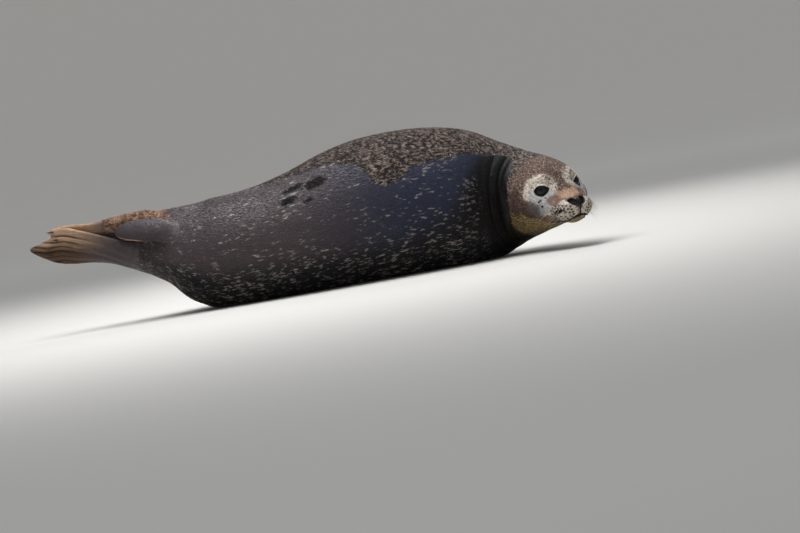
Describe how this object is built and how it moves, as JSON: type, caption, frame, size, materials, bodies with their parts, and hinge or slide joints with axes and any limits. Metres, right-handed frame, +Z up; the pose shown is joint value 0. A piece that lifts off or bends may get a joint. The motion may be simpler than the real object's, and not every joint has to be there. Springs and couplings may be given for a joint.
{
  "type": "harbor seal",
  "caption": "Life-size still harbor seal lying rolled on its flank, head turned back over the shoulder and hind flippers held up.",
  "frame": {"origin": "on the floor, under the middle of the animal's bounding box", "axes": "+X towards the head end, +Y behind the back of the pose (the belly side), +Z up"},
  "size_m": [1.3888, 0.5202, 0.3563],
  "materials": {
    "coat": "short flat fur, dark and wet on the flanks, dry and brown on the back",
    "eye": "wet and glossy",
    "claw": "smooth dark horn"
  },
  "bodies": {
    "root": {"head": "coat", "neck": "coat", "chest": "coat", "trunk_middle": "coat", "abdomen": "coat", "rump": "coat", "tail": "coat", "hind_flipper_right": "coat", "hind_flipper_left": "coat", "foreflipper_right": "coat", "foreflipper_left": "coat", "eye_left": "eye", "eye_right": "eye", "hind_claw_right_1": "claw", "hind_claw_right_2": "claw", "hind_claw_right_3": "claw", "hind_claw_right_4": "claw", "hind_claw_right_5": "claw", "hind_claw_left_1": "claw", "hind_claw_left_2": "claw", "hind_claw_left_3": "claw", "hind_claw_left_4": "claw", "hind_claw_left_5": "claw", "foreclaw_right_1": "claw", "foreclaw_right_2": "claw", "foreclaw_right_3": "claw", "foreclaw_right_4": "claw", "foreclaw_right_5": "claw", "foreclaw_left_1": "claw", "foreclaw_left_2": "claw", "foreclaw_left_3": "claw", "foreclaw_left_4": "claw", "foreclaw_left_5": "claw"}
  },
  "joints": []
}
